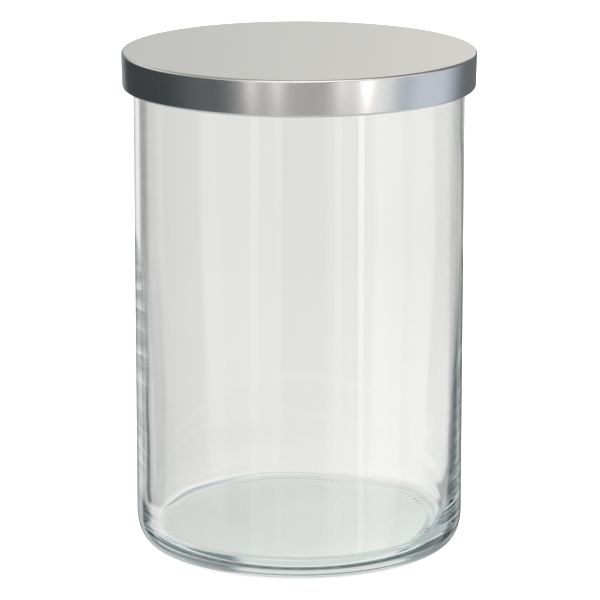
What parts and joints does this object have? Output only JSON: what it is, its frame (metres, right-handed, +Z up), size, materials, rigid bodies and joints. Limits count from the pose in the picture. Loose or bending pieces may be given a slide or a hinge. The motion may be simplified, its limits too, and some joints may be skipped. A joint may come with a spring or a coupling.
{
  "type": "specimen jar",
  "caption": "Tall straight clear-glass display jar with a thick rounded foot and a flat satin-metal lid that lifts off.",
  "frame": {"origin": "centre of the foot ring, on the surface the jar stands on", "axes": "+Z up along the jar's axis, towards the lid; the jar is round, so +X and +Y are any two square directions"},
  "size_m": [0.1286, 0.1286, 0.183],
  "materials": {
    "clear_glass": "clear, fire-polished, with a faint grey-green tint where it is thick",
    "satin_steel": "satin, finely brushed",
    "insert_plastic": "moulded, slightly translucent white",
    "silicone": "soft, translucent, matte"
  },
  "bodies": {
    "jar": {"glass_jar": "clear_glass"},
    "seal": {"seal_ring": "silicone"},
    "lid": {"lid_cap": "satin_steel", "lid_insert": "insert_plastic"}
  },
  "joints": [
    {"name": "lid_lift", "type": "slide", "parent": "jar", "child": "seal", "axis": [0, 0, 1], "range_m": [0, 0.06]},
    {"name": "lid_turn", "type": "hinge", "parent": "seal", "child": "lid", "pos_m": [0, 0, 0.178], "axis": [0, 0, 1], "continuous": true}
  ]
}
